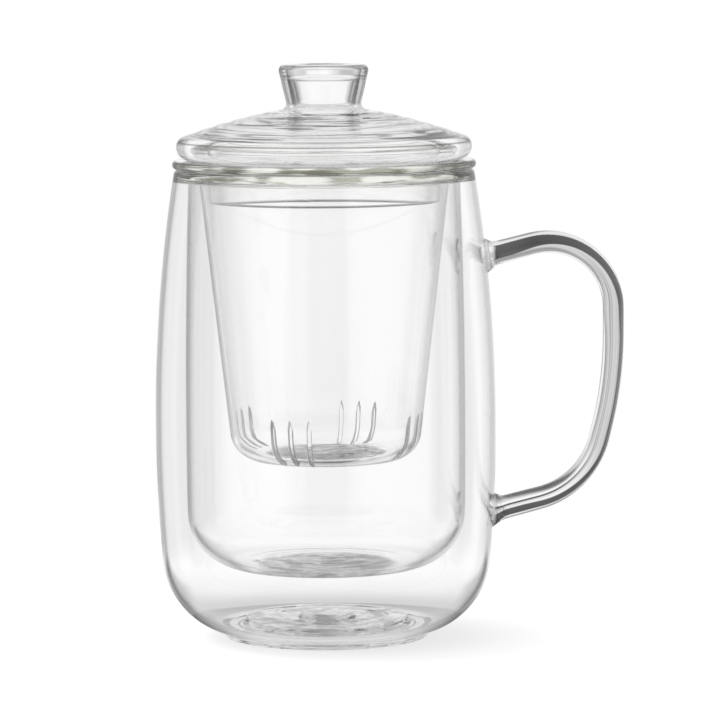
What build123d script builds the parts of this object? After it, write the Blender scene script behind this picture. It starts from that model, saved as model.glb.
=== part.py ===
from build123d import *
import os
from math import asin, cos, radians, sin, sqrt, tan

# Glass tea mug with a double wall, a rod handle, a lift-out infuser and a loose lid with a knob.
# The origin is on the table at the centre of the foot, +Z is up and the handle points along +X.
# Lengths are in millimetres and angles in degrees. A share is a part of another length.

# Outer wall of the mug
mug_height = 121.4
belly_diameter = 88.1
belly_height = 55.0
rim_draw_in = 5.4
outer_thickness = 1.1
outer_corner_radius = 19.5
cavity_corner_radius = 17.0
base_thickness = 3.4
rim_depth = 3.7
rim_edge_round = 1.4
rim_root_round = 0.9

# Foot ring, and the vent in the base with the drop of glass that closes it
foot_setback = 18.05
foot_width = 2.6
foot_height = 0.8
foot_edge_round = 0.5
vent_diameter = 5.0
seal_diameter = 15.0
seal_height = 1.3
seal_edge_round = 0.8

# Inner wall, the cup that holds the tea
air_gap = 6.75
air_depth = 13.8
inner_draw_in = 1.15
inner_thickness = 1.1
inner_corner_radius = 15.0
tea_floor_thickness = 1.9
tea_corner_radius = 13.6
mouth_edge_round = 0.5

# Handle, a bent rod fused to the outer wall at both ends
rod_diameter = 5.7
finger_gap = 27.45
handle_drop = 22.8
handle_span = 66.2
arm_slope = 14.6
side_lean = 14.0
lean_drop = 32.6
top_bend_radius = 17.0
side_bend_radius = 100.0
bottom_bend_radius = 21.4
weld_diameter = 9.4
weld_length = 2.6
weld_tuck = 0.4

# Infuser, a tapered glass basket hung on its flange
infuser_depth = 75.4
infuser_foot_diameter = 48.0
infuser_thickness = 1.2
infuser_floor_thickness = 1.8
infuser_corner_radius = 8.0
basket_corner_radius = 6.8
neck_clearance = 1.35
flange_overhang = 0.55
flange_thickness = 2.2
flange_root_round = 1.2
flange_edge_share = 0.45
seat_gap = 0.1

# Slits sawn through the corner of the infuser
slit_width = 1.1
slit_rise = 12.7
slit_reach = 5.5
slit_blade_radius = 12.5
slit_blade_bevel = 1.6
slit_tip_share = 0.15
slit_groups = 4
slits_per_group = 3
slit_pitch = 11.3
slit_group_turn = -20.8

# Lid with its hanging collar
lid_setback = 1.1
lid_rise = 12.8
lid_edge_height = 5.3
lid_bulge = 0.6
lid_thickness = 1.8
lid_rim_width = 3.6
lid_edge_round = 2.2
lid_seat_round = 1.2
lid_root_round = 1.5
collar_depth = 10.8
collar_thickness = 1.2
collar_clearance = 0.5
collar_edge_round = 0.4

# Knob, hollow and flared, open to the inside of the lid
knob_height = 11.6
knob_neck_diameter = 19.3
knob_top_diameter = 23.9
knob_foot_round = 1.6
knob_edge_round = 1.5
knob_dish_diameter = 16.0
knob_dish_depth = 0.9
knob_bore_diameter = 15.8
knob_wall_thickness = 1.9
knob_top_thickness = 2.2
knob_bore_round = 1.8


def draw_radius(rise, inset):
    """Radius of the arc that starts upright and comes in by the inset over the rise."""
    return (rise**2 + inset**2) / (2 * inset)


def arc_inset(rise, radius):
    """How far that arc has come in at a rise."""
    return radius - sqrt(radius**2 - rise**2)


def barrel(widest, arc_radius, bottom, top, bottom_round, top_round):
    """A filled form of revolution with a bowed side, widest at the belly, and rounded corners."""

    def side(height):
        return (widest - arc_inset(height - belly_height, arc_radius), height)

    with BuildPart() as form:
        with BuildSketch(Plane.XZ):
            with BuildLine():
                bowed = ThreePointArc(side(bottom), side((bottom + top) / 2), side(top))
                Polyline(bowed @ 1, (0, top), (0, bottom), bowed @ 0)
            make_face()
            fillet(vertices().group_by(Axis.Y)[0].sort_by(Axis.X)[-1], bottom_round)
            if top_round > 0:
                fillet(vertices().group_by(Axis.Y)[-1].sort_by(Axis.X)[-1], top_round)
        revolve(axis=Axis.Z)
    return form.part


# Sizes of the mug that follow from the ones above
belly_radius = belly_diameter / 2
rim_radius = belly_radius - rim_draw_in
foot_radius = belly_radius - foot_setback
rim_bottom = mug_height - rim_depth
base_top = foot_height + base_thickness
inner_bottom = base_top + air_depth
inner_radius = belly_radius - outer_thickness - air_gap
neck_radius = inner_radius - inner_draw_in
mouth_radius = neck_radius - inner_thickness
outer_arc = draw_radius(mug_height - belly_height, rim_draw_in)
inner_arc = draw_radius(rim_bottom - belly_height, inner_draw_in)

# Filled forms of the four blown surfaces, from the outside in
outer_form = barrel(belly_radius, outer_arc, foot_height, mug_height, outer_corner_radius, rim_edge_round)
cavity_form = barrel(
    belly_radius - outer_thickness,
    outer_arc - outer_thickness,
    base_top,
    rim_bottom,
    cavity_corner_radius,
    rim_root_round,
)
inner_form = barrel(inner_radius, inner_arc, inner_bottom, rim_bottom, inner_corner_radius, 0)
tea_form = barrel(
    inner_radius - inner_thickness,
    inner_arc - inner_thickness,
    inner_bottom + tea_floor_thickness,
    rim_bottom,
    tea_corner_radius,
    0,
)

# Outer wall with its foot ring and vent hole, and the thick rim that turns in to the inner wall
with BuildPart() as outer_wall:
    add(outer_form)
    with BuildSketch(Plane.XY):
        Circle(foot_radius)
        Circle(foot_radius - foot_width, mode=Mode.SUBTRACT)
    extrude(amount=base_top / 2)
    foot_edges = outer_wall.edges().filter_by(GeomType.CIRCLE).group_by(Axis.Z)[0]
    fillet(foot_edges, foot_edge_round)
    add(cavity_form, mode=Mode.SUBTRACT)
    with BuildSketch(Plane.XY.offset(rim_bottom)):
        Circle(neck_radius)
    extrude(amount=rim_depth, mode=Mode.SUBTRACT)
    with BuildSketch(Plane.XY):
        Circle(vent_diameter / 2)
    extrude(amount=base_top, mode=Mode.SUBTRACT)
outer_wall.part.label = "outer_wall"

# Inner wall, open at the top, its neck a plain tube where the rim is fused to it
with BuildPart() as inner_wall:
    add(inner_form)
    with BuildSketch(Plane.XY.offset(rim_bottom)):
        Circle(neck_radius)
    extrude(amount=rim_depth)
    add(tea_form, mode=Mode.SUBTRACT)
    with BuildSketch(Plane.XY.offset(rim_bottom)):
        Circle(mouth_radius)
    extrude(amount=rim_depth, mode=Mode.SUBTRACT)
    mouth_edge = inner_wall.edges().filter_by(GeomType.CIRCLE).group_by(Axis.Z)[-1].sort_by(SortBy.RADIUS)[0]
    fillet(mouth_edge, mouth_edge_round)
inner_wall.part.label = "inner_wall"

# Drop of glass that closes the vent, with a button on the floor between the walls
with BuildPart() as vent_seal:
    with BuildSketch(Plane.XY.offset(foot_height)):
        Circle(vent_diameter / 2)
    extrude(amount=base_thickness)
    with BuildSketch(Plane.XY.offset(base_top)):
        Circle(seal_diameter / 2)
    extrude(amount=seal_height)
    fillet(vent_seal.edges().filter_by(GeomType.CIRCLE).group_by(Axis.Z)[-1], seal_edge_round)
vent_seal.part.label = "vent_seal"


def wall_radius(height):
    """Outside radius of the mug at a height on its bowed side."""
    return belly_radius - arc_inset(height - belly_height, outer_arc)


# Corner points of the handle's centre line, which starts and ends inside the wall
upper_joint = mug_height - handle_drop
lower_joint = upper_joint - handle_span
upper_wall = wall_radius(upper_joint)
lower_wall = wall_radius(lower_joint)
side_reach = belly_radius + finger_gap + rod_diameter / 2
arm_rise = tan(radians(arm_slope))
lean_run = tan(radians(side_lean))
lean_height = upper_joint - lean_drop
lower_drop = lean_height - lower_joint + lower_wall * arm_rise
lower_reach = (side_reach - lower_drop * lean_run) / (1 - arm_rise * lean_run)
upper_root = (upper_wall - weld_length, upper_joint - weld_length * arm_rise)
upper_corner = (side_reach, upper_joint + (side_reach - upper_wall) * arm_rise)
lower_corner = (lower_reach, lower_joint + (lower_reach - lower_wall) * arm_rise)
lower_root = (lower_wall - weld_length, lower_joint - weld_length * arm_rise)

# Handle rod with a trumpet of fused glass at each end, cut to the outside of the mug
with BuildPart() as handle:
    with BuildLine(Plane.XZ) as rod_line:
        FilletPolyline(
            upper_root,
            upper_corner,
            (side_reach, lean_height),
            lower_corner,
            lower_root,
            radius=(top_bend_radius, side_bend_radius, bottom_bend_radius),
        )
    with BuildSketch(Plane(origin=rod_line.line @ 0, z_dir=rod_line.line % 0)):
        Circle(rod_diameter / 2)
    sweep(path=rod_line.line)
    for joint_height in (upper_joint, lower_joint):
        wall_slope = asin((joint_height - belly_height) / outer_arc)
        outward = (cos(wall_slope), 0, sin(wall_slope))
        joint_point = (wall_radius(joint_height), 0, joint_height)
        with BuildSketch(Plane(origin=joint_point, x_dir=outward, z_dir=(0, -1, 0))):
            with BuildLine():
                trumpet = EllipticalCenterArc(
                    (weld_length, weld_diameter / 2),
                    weld_length,
                    weld_diameter / 2 - rod_diameter / 2 + weld_tuck,
                    start_angle=180,
                    arc_size=90,
                )
                Polyline(
                    trumpet @ 1,
                    (weld_length, 0),
                    (-weld_length, 0),
                    (-weld_length, weld_diameter / 2),
                    trumpet @ 0,
                )
            make_face()
        revolve(axis=Axis(joint_point, outward))
    add(outer_form, mode=Mode.SUBTRACT)
handle.part.label = "handle"

# Sizes of the infuser that follow from the mug's mouth
flange_bottom = mug_height + seat_gap
flange_top = flange_bottom + flange_thickness
flange_radius = rim_radius + flange_overhang
infuser_bottom = mug_height - infuser_depth
infuser_foot = infuser_foot_diameter / 2
taper = (mouth_radius - neck_clearance - infuser_foot) / infuser_depth
wall_across = infuser_thickness * sqrt(1 + taper**2)
basket_floor = infuser_bottom + infuser_floor_thickness


def infuser_radius(height):
    """Outside radius of the tapered infuser at a height."""
    return infuser_foot + (height - infuser_bottom) * taper


# Round blade with a bevelled edge that saws one slit through the corner of the infuser
slit_top = Vector(infuser_radius(infuser_bottom + slit_rise), 0, infuser_bottom + slit_rise)
slit_end = Vector(infuser_foot - slit_reach, 0, infuser_bottom)
slit_chord = slit_top - slit_end
blade_offset = sqrt(slit_blade_radius**2 - (slit_chord.length / 2) ** 2)
blade_centre = slit_end + slit_chord / 2 + slit_chord.normalized().rotate(Axis.Y, 90) * blade_offset
with BuildPart() as blade:
    with BuildSketch(Plane(origin=blade_centre, x_dir=(1, 0, 0), z_dir=(0, 0, 1))):
        with BuildLine():
            Polyline(
                (0, slit_width / 2),
                (slit_blade_radius - slit_blade_bevel, slit_width / 2),
                (slit_blade_radius, slit_width / 2 * slit_tip_share),
                (slit_blade_radius, -slit_width / 2 * slit_tip_share),
                (slit_blade_radius - slit_blade_bevel, -slit_width / 2),
                (0, -slit_width / 2),
                close=True,
            )
        make_face()
    revolve(axis=Axis(blade_centre, (0, 1, 0)))

# Infuser with its flange, turned out and rounded at the edge, and its groups of slits
with BuildPart() as infuser:
    with BuildSketch(Plane.XZ):
        with BuildLine():
            Polyline(
                (0, infuser_bottom),
                (infuser_foot, infuser_bottom),
                (infuser_radius(flange_bottom), flange_bottom),
                (flange_radius, flange_bottom),
                (flange_radius, flange_top),
                (0, flange_top),
                close=True,
            )
        make_face()
        fillet(vertices().group_by(Axis.Y)[0].sort_by(Axis.X)[-1], infuser_corner_radius)
        fillet(vertices().group_by(Axis.X)[-1], flange_thickness * flange_edge_share)
        fillet(vertices().sort_by_distance((infuser_radius(flange_bottom), flange_bottom))[0], flange_root_round)
    revolve(axis=Axis.Z)
    with BuildSketch(Plane.XZ):
        with BuildLine():
            Polyline(
                (0, basket_floor),
                (infuser_radius(basket_floor) - wall_across, basket_floor),
                (infuser_radius(flange_top) - wall_across, flange_top),
                (0, flange_top),
                close=True,
            )
        make_face()
        fillet(vertices().group_by(Axis.Y)[0].sort_by(Axis.X)[-1], basket_corner_radius)
    revolve(axis=Axis.Z, mode=Mode.SUBTRACT)
    neck_edge = infuser.edges().filter_by(GeomType.CIRCLE).group_by(Axis.Z)[-1].sort_by(SortBy.RADIUS)[0]
    fillet(neck_edge, flange_root_round)
    for group in range(slit_groups):
        for slit in range(slits_per_group):
            turn = slit_group_turn + group * 360 / slit_groups
            turn = turn + (slit - (slits_per_group - 1) / 2) * slit_pitch
            add(blade.part.rotate(Axis.Z, turn), mode=Mode.SUBTRACT)
infuser.part.label = "infuser"

# Sizes of the lid that follow from the infuser
lid_seat = flange_top + seat_gap
lid_radius = flange_radius - lid_setback
lid_inner_radius = lid_radius - lid_rim_width
lid_edge_top = lid_seat + lid_edge_height
pad_height = lid_seat + lid_rise
pad_radius = knob_neck_diameter / 2 + knob_foot_round
collar_bottom = lid_seat - collar_depth
collar_radius = infuser_radius(collar_bottom) - wall_across - collar_clearance


def crown(lowered):
    """Three points on the lid's crown, from its pad to its edge, lowered by a height."""
    middle = ((pad_radius + lid_radius) / 2, (pad_height + lid_edge_top) / 2 + lid_bulge - lowered)
    return ((pad_radius, pad_height - lowered), middle, (lid_radius, lid_edge_top - lowered))


# Filled form of the hollow under the lid
with BuildPart() as lid_hollow:
    with BuildSketch(Plane.XZ):
        with BuildLine():
            under = ThreePointArc(*crown(lid_thickness))
            Polyline(
                under @ 1,
                (lid_radius, collar_bottom),
                (0, collar_bottom),
                (0, pad_height - lid_thickness),
                under @ 0,
            )
        make_face()
        Rectangle(lid_inner_radius, pad_height, align=Align.MIN, mode=Mode.INTERSECT)
        fillet(vertices().group_by(Axis.X)[-1].sort_by(Axis.Y)[-1], lid_root_round)
    revolve(axis=Axis.Z)

# Dome of the lid, with a thick rounded edge, a flat pad for the knob and a hole up into the knob
with BuildPart() as lid_dome:
    with BuildSketch(Plane.XZ):
        with BuildLine():
            over = ThreePointArc(*crown(0))
            Polyline(over @ 1, (lid_radius, lid_seat), (0, lid_seat), (0, pad_height), over @ 0)
        make_face()
        fillet(vertices().group_by(Axis.X)[-1].sort_by(Axis.Y)[-1], lid_edge_round)
        fillet(vertices().group_by(Axis.Y)[0].sort_by(Axis.X)[-1], lid_seat_round)
    revolve(axis=Axis.Z)
    add(lid_hollow.part, mode=Mode.SUBTRACT)
    with BuildSketch(Plane.XY.offset(lid_seat)):
        Circle(knob_bore_diameter / 2)
    extrude(amount=lid_rise, mode=Mode.SUBTRACT)
lid_dome.part.label = "lid_dome"

# Collar that hangs from the dome into the neck of the infuser
with BuildPart() as lid_collar:
    with BuildSketch(Plane.XY.offset(collar_bottom)):
        Circle(collar_radius)
        Circle(collar_radius - collar_thickness, mode=Mode.SUBTRACT)
    extrude(amount=collar_depth + lid_rise)
    fillet(lid_collar.edges().filter_by(GeomType.CIRCLE).group_by(Axis.Z)[0], collar_edge_round)
    add(lid_hollow.part, mode=Mode.INTERSECT)
lid_collar.part.label = "lid_collar"

# Knob with a dished top, its foot spread on the pad
with BuildPart() as lid_knob:
    with BuildSketch(Plane.XZ):
        with BuildLine():
            knob_top = pad_height + knob_height
            spread = CenterArc((pad_radius, pad_height + knob_foot_round), knob_foot_round, 270, -90)
            dish = TangentArc((0, knob_top - knob_dish_depth), (knob_dish_diameter / 2, knob_top), tangent=(1, 0))
            Polyline(spread @ 1, (knob_top_diameter / 2, knob_top), dish @ 1)
            Polyline(dish @ 0, (0, pad_height), spread @ 0)
        make_face()
        fillet(vertices().group_by(Axis.X)[-1], knob_edge_round)
    revolve(axis=Axis.Z)
    with BuildSketch(Plane.XZ):
        with BuildLine():
            Polyline(
                (0, pad_height),
                (knob_bore_diameter / 2, pad_height),
                (knob_bore_diameter / 2, pad_height + knob_foot_round),
                (knob_top_diameter / 2 - knob_wall_thickness, knob_top - knob_top_thickness),
                (0, knob_top - knob_top_thickness),
                close=True,
            )
        make_face()
        fillet(vertices().group_by(Axis.X)[-1], knob_bore_round)
    revolve(axis=Axis.Z, mode=Mode.SUBTRACT)
lid_knob.part.label = "lid_knob"

os.makedirs("parts", exist_ok=True)
export_step(outer_wall.part, "parts/outer_wall.step")
export_step(inner_wall.part, "parts/inner_wall.step")
export_step(vent_seal.part, "parts/vent_seal.step")
export_step(handle.part, "parts/handle.step")
export_step(infuser.part, "parts/infuser.step")
export_step(lid_dome.part, "parts/lid_dome.step")
export_step(lid_collar.part, "parts/lid_collar.step")
export_step(lid_knob.part, "parts/lid_knob.step")
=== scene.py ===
from math import acos, asin, atan2, cos, pi, radians, sin, sqrt, tan
import bpy
from bpy.props import FloatProperty, FloatVectorProperty, IntProperty, PointerProperty
from mathutils import Matrix, Quaternion, Vector


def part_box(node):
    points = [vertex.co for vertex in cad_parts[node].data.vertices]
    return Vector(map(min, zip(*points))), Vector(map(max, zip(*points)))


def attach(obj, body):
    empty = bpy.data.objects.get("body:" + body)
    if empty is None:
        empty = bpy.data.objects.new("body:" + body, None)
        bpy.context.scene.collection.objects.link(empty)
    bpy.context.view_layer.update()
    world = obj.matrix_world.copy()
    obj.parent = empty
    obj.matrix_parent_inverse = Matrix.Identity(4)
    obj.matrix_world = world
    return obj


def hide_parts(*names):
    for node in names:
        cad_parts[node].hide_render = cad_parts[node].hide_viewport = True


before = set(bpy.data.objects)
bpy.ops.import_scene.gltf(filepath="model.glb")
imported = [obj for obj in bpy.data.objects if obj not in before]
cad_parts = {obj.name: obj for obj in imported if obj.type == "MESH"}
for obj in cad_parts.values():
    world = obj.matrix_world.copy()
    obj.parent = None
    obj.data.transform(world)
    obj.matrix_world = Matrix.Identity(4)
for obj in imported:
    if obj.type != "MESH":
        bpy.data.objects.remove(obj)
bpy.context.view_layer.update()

bl_info = {
    "name": "Glass Tea Mug",
    "version": (1, 0, 0),
    "blender": (4, 5, 0),
    "location": "View3D > Sidebar > Tea Mug",
    "description": "Blown glass mug with a double wall, an infuser and a loose lid",
    "category": "Object",
}

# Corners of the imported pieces, which the glass is made to fit
OUTER_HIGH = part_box("outer_wall")[1]
INNER_LOW, INNER_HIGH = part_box("inner_wall")
SEAL_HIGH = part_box("vent_seal")[1]
HANDLE_LOW, HANDLE_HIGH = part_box("handle")
BASKET_LOW, BASKET_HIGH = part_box("infuser")
DOME_LOW, DOME_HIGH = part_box("lid_dome")
COLLAR_LOW, COLLAR_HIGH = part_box("lid_collar")
KNOB_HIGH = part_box("lid_knob")[1]
FULL_TURN = 2 * pi
WHITE = (1.0, 1.0, 1.0)
GLASS_IOR = 1.47

# Points closer than this are merged, and faces that meet at less than this angle are smoothed over
MERGE_GAP = 0.000001
SMOOTH_ANGLE = radians(35)

# Least rise of the normal on the upper side of a floor or a crown, and power by which the waves
# there die away outwards
UPPER_SIDE = 0.3
WAVE_POWER = 4

# Brightness of the room round the mug, by degrees to the left of straight behind it
ROOM_LEVELS = (
    (-88.0, 1.0), (-81.0, 0.78), (-74.0, 0.3), (-61.0, 0.3), (-57.0, 0.85),
    (-50.0, 1.0), (-43.0, 1.0), (-36.0, 0.78), (-32.0, 0.7), (-29.0, 0.7), (-16.2, 0.62),
    (-12.6, 0.9), (-8.1, 0.95), (-4.0, 0.945), (-1.0, 0.97), (2.0, 1.0), (3.5, 0.965), (6.1, 0.88),
    (9.5, 0.78), (12.6, 0.7), (16.2, 0.5), (29.0, 0.5), (32.4, 0.85), (40.0, 1.0), (46.0, 1.0),
    (57.0, 0.72), (61.0, 0.3), (74.0, 0.3), (77.0, 0.85), (86.0, 1.0),
)

# Brightness of the floor as the glass shows it, darker near the mug as a painted shadow, by distance
# from the axis in shares of the floor's radius
FLOOR_LEVELS = (
    (0.0, 0.7), (0.085, 0.75), (0.12, 0.8), (0.15, 0.45), (0.176, 0.38), (0.186, 0.64), (0.2, 0.62),
    (0.238, 0.72), (0.276, 0.83), (0.314, 0.9), (0.35, 0.93), (0.43, 0.96), (0.52, 0.99),
    (0.8, 1.0),
)

# Painted shade streaks in the lid, by the strength of its ringed waves
LID_SHADE_STREAKS = (
    (0.33, 1.0), (0.35, 0.03), (0.405, 0.06), (0.42, 1.0), (0.6, 1.0), (0.625, 0.25),
    (0.665, 0.08), (0.69, 1.0),
)

# Painted shade lines round the lid's thick edge, by height in shares of the edge's height
LID_EDGE_SHADE = ((0.0, 0.6), (0.1, 0.5), (0.2, 1.0), (0.83, 1.0), (0.87, 0.18), (0.91, 0.18), (0.95, 1.0))

# Rise of the normal where the lid's edge turns into its crown, and where a floor turns into a wall
EDGE_TO_CROWN = (0.85, 0.93)
FLOOR_TO_WALL = (0.99, 0.95)

# Radii where the crown's painted streaks clear, and heights above the dome where the knob's painted lines
# clear
CLEAR_RING = (0.0146, 0.0136)
CLEAR_FOOT = (0.0018, 0.0008)

# Painted shade line along the collar's lower edge, by height in millimetres, and millimetres to the metre
COLLAR_SHADE_LINE = ((0.3, 0.02), (0.75, 1.0))
MILLIMETRES = 1000.0

# Olive patches in the rim and the flange: patches per metre, noise where a patch starts and is full,
# and heights over which they fade below and above
OLIVE_SCALE = (80.0, 80.0, 420.0)
OLIVE_NOISE = (0.49, 0.59)
OLIVE_FADE = (0.0006, 0.0003)

# Painted shade streaks in the pools in the floors: darkest and lightest streak, and streaks per metre
BASE_POOL_SHADE = (0.3, 1.0, 70.0)
CUP_POOL_SHADE = (0.1, 0.7, 80.0)
BASKET_POOL_SHADE = (0.02, 0.55, 130.0)

# Share of a pool's radius with full painted streaks, height over which they fade, and level of the dim
# streaks
POOL_FULL = 0.8
POOL_FADE = 0.0004
POOL_DIM = 0.4

# Sawn glass: its levels by the strength of its grain, how matt it is and how clear
FROST_LEVELS = ((0.3, 0.8), (0.7, 0.98))
FROST_MATT = 0.5
FROST_CLEAR = 0.7

# Share of the base's height and reach inside which its shadow is darkest
DARK_BASE = 0.4

# Painted shade lines along the edges of the walls, from glass seen square on to glass seen along its
# surface
CUP_SHADE_LINES = ((0.55, 1.0), (0.7, 0.93), (0.8, 0.62), (0.9, 0.25), (1.0, 0.12))
CROWN_SHADE_LINES = ((0.78, 1.0), (0.87, 0.6), (0.94, 0.15), (1.0, 0.05))
SHELL_SHADE_LINES = ((0.7, 1.0), (0.84, 0.85), (0.93, 0.5), (1.0, 0.35))
KNOB_SHADE_LINES = (
    (0.24, 1.0), (0.34, 0.4), (0.44, 0.03), (0.5, 0.5), (0.58, 0.3), (0.68, 0.03), (0.76, 0.6),
    (0.9, 0.2), (1.0, 0.12),
)

# Middle of the rod's turn as a share of the handle's width, its turn from end to end, and how far
# from the wall its painted shade lines begin
ROD_MIDDLE = 0.25
ROD_TURN = radians(210)
ROD_START = (0.0015, 0.003)

# Weld lengths over which the rod turns square to the wall, share of the rod over which it tapers,
# and power by which it spreads into the weld
WELD_TURN = 3
ROD_TAPER = 0.3
WELD_POWER = 2.4

# Painted shade streaks in the rod, from its lower end round to its upper end: where the streak starts
# and ends across the rod, half a unit up so that no value is negative, how soft both are, and how dark it
# is
ROD_SHADE_SOFT = 0.05
ROD_SHADE_STARTS = (
    (0.03, 0.56), (0.08, 0.56), (0.2, 0.75), (0.29, 0.95), (0.43, 1.05), (0.61, 1.02), (0.75, 0.7),
    (0.82, 0.5), (0.9, 0.22), (0.945, 0.05),
)
ROD_SHADE_ENDS = (
    (0.03, 1.12), (0.08, 1.15), (0.2, 1.25), (0.29, 1.35), (0.43, 1.42), (0.61, 1.4), (0.75, 1.3),
    (0.82, 1.25), (0.9, 1.18),
)
ROD_SHADE_LEVELS = (
    (0.08, 0.008), (0.2, 0.01), (0.29, 0.02), (0.43, 0.05), (0.61, 0.055), (0.75, 0.016),
    (0.82, 0.008), (0.9, 0.004), (0.95, 0.009),
)

# Painted shade lines in the rod, from its inner to its outer side, on the lower arm, the side and the
# upper arm, and the places along it where one kind gives way to the next
TO_SIDE = (0.15, 0.35)
TO_UPPER = (0.7, 0.88)
LOWER_SHADE_LINES = (
    (0.0, 0.4), (0.06, 0.1), (0.12, 0.25), (0.24, 0.7), (0.28, 1.0), (0.32, 0.95), (0.345, 0.008),
    (0.395, 0.01), (0.42, 0.5), (0.5, 0.9), (0.86, 1.0), (0.91, 0.08), (1.0, 0.5),
)
SIDE_SHADE_LINES = (
    (0.0, 0.5), (0.05, 0.85), (0.11, 0.95), (0.15, 0.16), (0.2, 0.4), (0.28, 0.95), (0.32, 0.9),
    (0.345, 0.08), (0.39, 0.5), (0.43, 0.2), (0.48, 0.45), (0.6, 0.45), (0.66, 0.85), (0.73, 1.0),
    (1.0, 0.9),
)
UPPER_SHADE_LINES = (
    (0.0, 0.6), (0.06, 1.0), (0.09, 1.0), (0.12, 0.15), (0.17, 0.22), (0.24, 0.12), (0.3, 0.4),
    (0.86, 0.9), (0.9, 0.6), (1.0, 0.8),
)

# Floor: how far it lies below the foot, and the shares of its radius between which it fades
FLOOR_DROP = 0.0001
FLOOR_FADE = (0.55, 0.8)

# Strips of floor that the glass shows darker: how fast they spread towards the back, and where they
# start, are full, begin to end and end, across and towards the back
STRIP_SPREAD = 0.42
STRIP_ACROSS = (0.024, 0.046, 0.06, 0.075)
STRIP_ALONG = (-0.01, 0.005, 0.07, 0.19)

# Room: angles to the left where the walls give way to the camera's side, and heights where they give
# way to the table, the cornice and the ceiling
FRONT_LEFT = (radians(151), radians(154))
FRONT_RIGHT = (radians(-161.5), radians(-164.5))
TABLE_HEIGHTS = (-0.16, -0.3)
CORNICE_HEIGHTS = (0.2, 0.28)
CEILING_HEIGHTS = (0.46, 0.56)

# Way that the sun lamp shines
SUN_WAY = (0.75, -0.2, -1.0)


def length(name, description, default):
    """A size in metres that shows in the sidebar."""
    return FloatProperty(
        name=name, description=description, default=default, precision=5, subtype="DISTANCE", unit="LENGTH"
    )


def angle(name, description, default):
    """An angle, given in degrees, that shows in the sidebar."""
    return FloatProperty(
        name=name, description=description, default=radians(default), subtype="ANGLE", unit="ROTATION"
    )


def share(name, description, default):
    """A share from nought to one that shows in the sidebar."""
    return FloatProperty(
        name=name, description=description, default=default, min=0, max=1, subtype="FACTOR"
    )


def number(name, description, default, unit="NONE"):
    """A plain number that shows in the sidebar."""
    return FloatProperty(name=name, description=description, default=default, unit=unit)


def count(name, description, default):
    """A whole number that shows in the sidebar."""
    return IntProperty(name=name, description=description, default=default, min=1)


def colour(name, description, default):
    """A colour that shows in the sidebar."""
    return FloatVectorProperty(
        name=name, description=description, default=default, size=3, min=0, max=1, subtype="COLOR"
    )


def section(kind, name, description):
    """A section of the settings."""
    return PointerProperty(type=kind, name=name, description=description)


class MugSizes(bpy.types.PropertyGroup):
    """Sizes of the double wall and its base."""

    wall: length("Wall", "Thickness of the outer wall", 0.0011)
    belly_height: length("Belly height", "Height of the widest place", 0.055)
    draw_in: length("Rim draw-in", "How far the rim is drawn in from the belly", 0.0054)
    corner: length("Corner", "Outside radius of the bottom corner", 0.0207)
    cavity_corner: length("Cavity corner", "Radius of the bottom corner inside the outer wall", 0.0194)
    corner_floor: length("Corner floor", "Height of the floor between the walls at its corner", 0.0021)
    base_lift: length("Base lift", "Height of the underside above the table", 0.0008)
    base_top: length("Base top", "Height of the pool of glass between the walls", 0.0042)
    pool_edge: length("Pool edge", "Radius inside which that pool is full", 0.021)
    foot_radius: length("Foot radius", "Outside radius of the foot ring", 0.026)
    foot_width: length("Foot width", "Width of the foot ring", 0.0026)
    rim_depth: length("Rim depth", "Height of the solid rim where the walls are fused", 0.0022)
    rim_round: length("Rim round", "Radius of the rim's outer edge", 0.0014)
    inner_wall: length("Inner wall", "Thickness of the inner wall", 0.0011)
    inner_draw_in: length("Neck draw-in", "How far the inner neck is drawn in from its belly", 0.00115)
    inner_corner: length("Inner corner", "Outside radius of the inner wall's bottom corner", 0.015)
    tea_corner: length("Tea corner", "Inside radius of the inner wall's bottom corner", 0.0139)
    tea_floor: length("Tea floor", "Thickness of the inner wall's floor at its edge", 0.0011)
    tea_pool: length("Tea pool", "Rise of the thicker glass in the middle of that floor", 0.0007)
    # Painted shade streaks in the pool of the inner wall's floor: how far out, how high and how far to the
    # front they lie
    shade_streak_reach: share("Streak reach", "Share of that floor's radius that has streaks", 0.92)
    shade_streak_rise: length("Streak rise", "Height above that floor up to which they show", 0.002)
    shade_streak_shift: length("Streak shift", "How far they lie towards the front", 0.007)
    ripple: length("Ripple", "Height of the rings left in the floors by blowing", 0.00007)
    ripple_pitch: length("Ripple pitch", "Distance between those rings", 0.0046)
    waves: length("Waves", "Height of the uneven waves in the floors", 0.0007)
    base_wave: length("Base wave", "Width of those waves in the base", 0.011)
    tea_wave: length("Tea wave", "Width of those waves in the inner wall's floor", 0.009)
    fuse: length("Fuse", "How far a fused piece reaches into its neighbour", 0.0003)


class HandleSizes(bpy.types.PropertyGroup):
    """Sizes of the bent rod."""

    rod: length("Rod", "Radius of the rod on its upright side", 0.0027)
    arm: length("Arm", "Radius of the rod near the wall", 0.00305)
    weld: length("Weld", "Radius of the spread glass at the wall", 0.0047)
    weld_length: length("Weld length", "How far the spread glass runs out along the rod", 0.0036)
    sink: length("Sink", "How far the ends sink into the wall", 0.0006)
    upper_drop: length("Upper drop", "From the rim down to the upper joint", 0.0228)
    span: length("Span", "From the upper joint down to the lower joint", 0.0662)
    lean_drop: length("Lean drop", "From the upper joint down to where the side starts to lean", 0.0326)
    arm_slope: angle("Arm slope", "Rise of both arms", 14.6)
    side_lean: angle("Side lean", "Lean of the lower side", 14.0)
    top_bend: length("Top bend", "Radius of the top bend", 0.017)
    side_bend: length("Side bend", "Radius of the side bend", 0.1)
    bottom_bend: length("Bottom bend", "Radius of the bottom bend", 0.0214)


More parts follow.
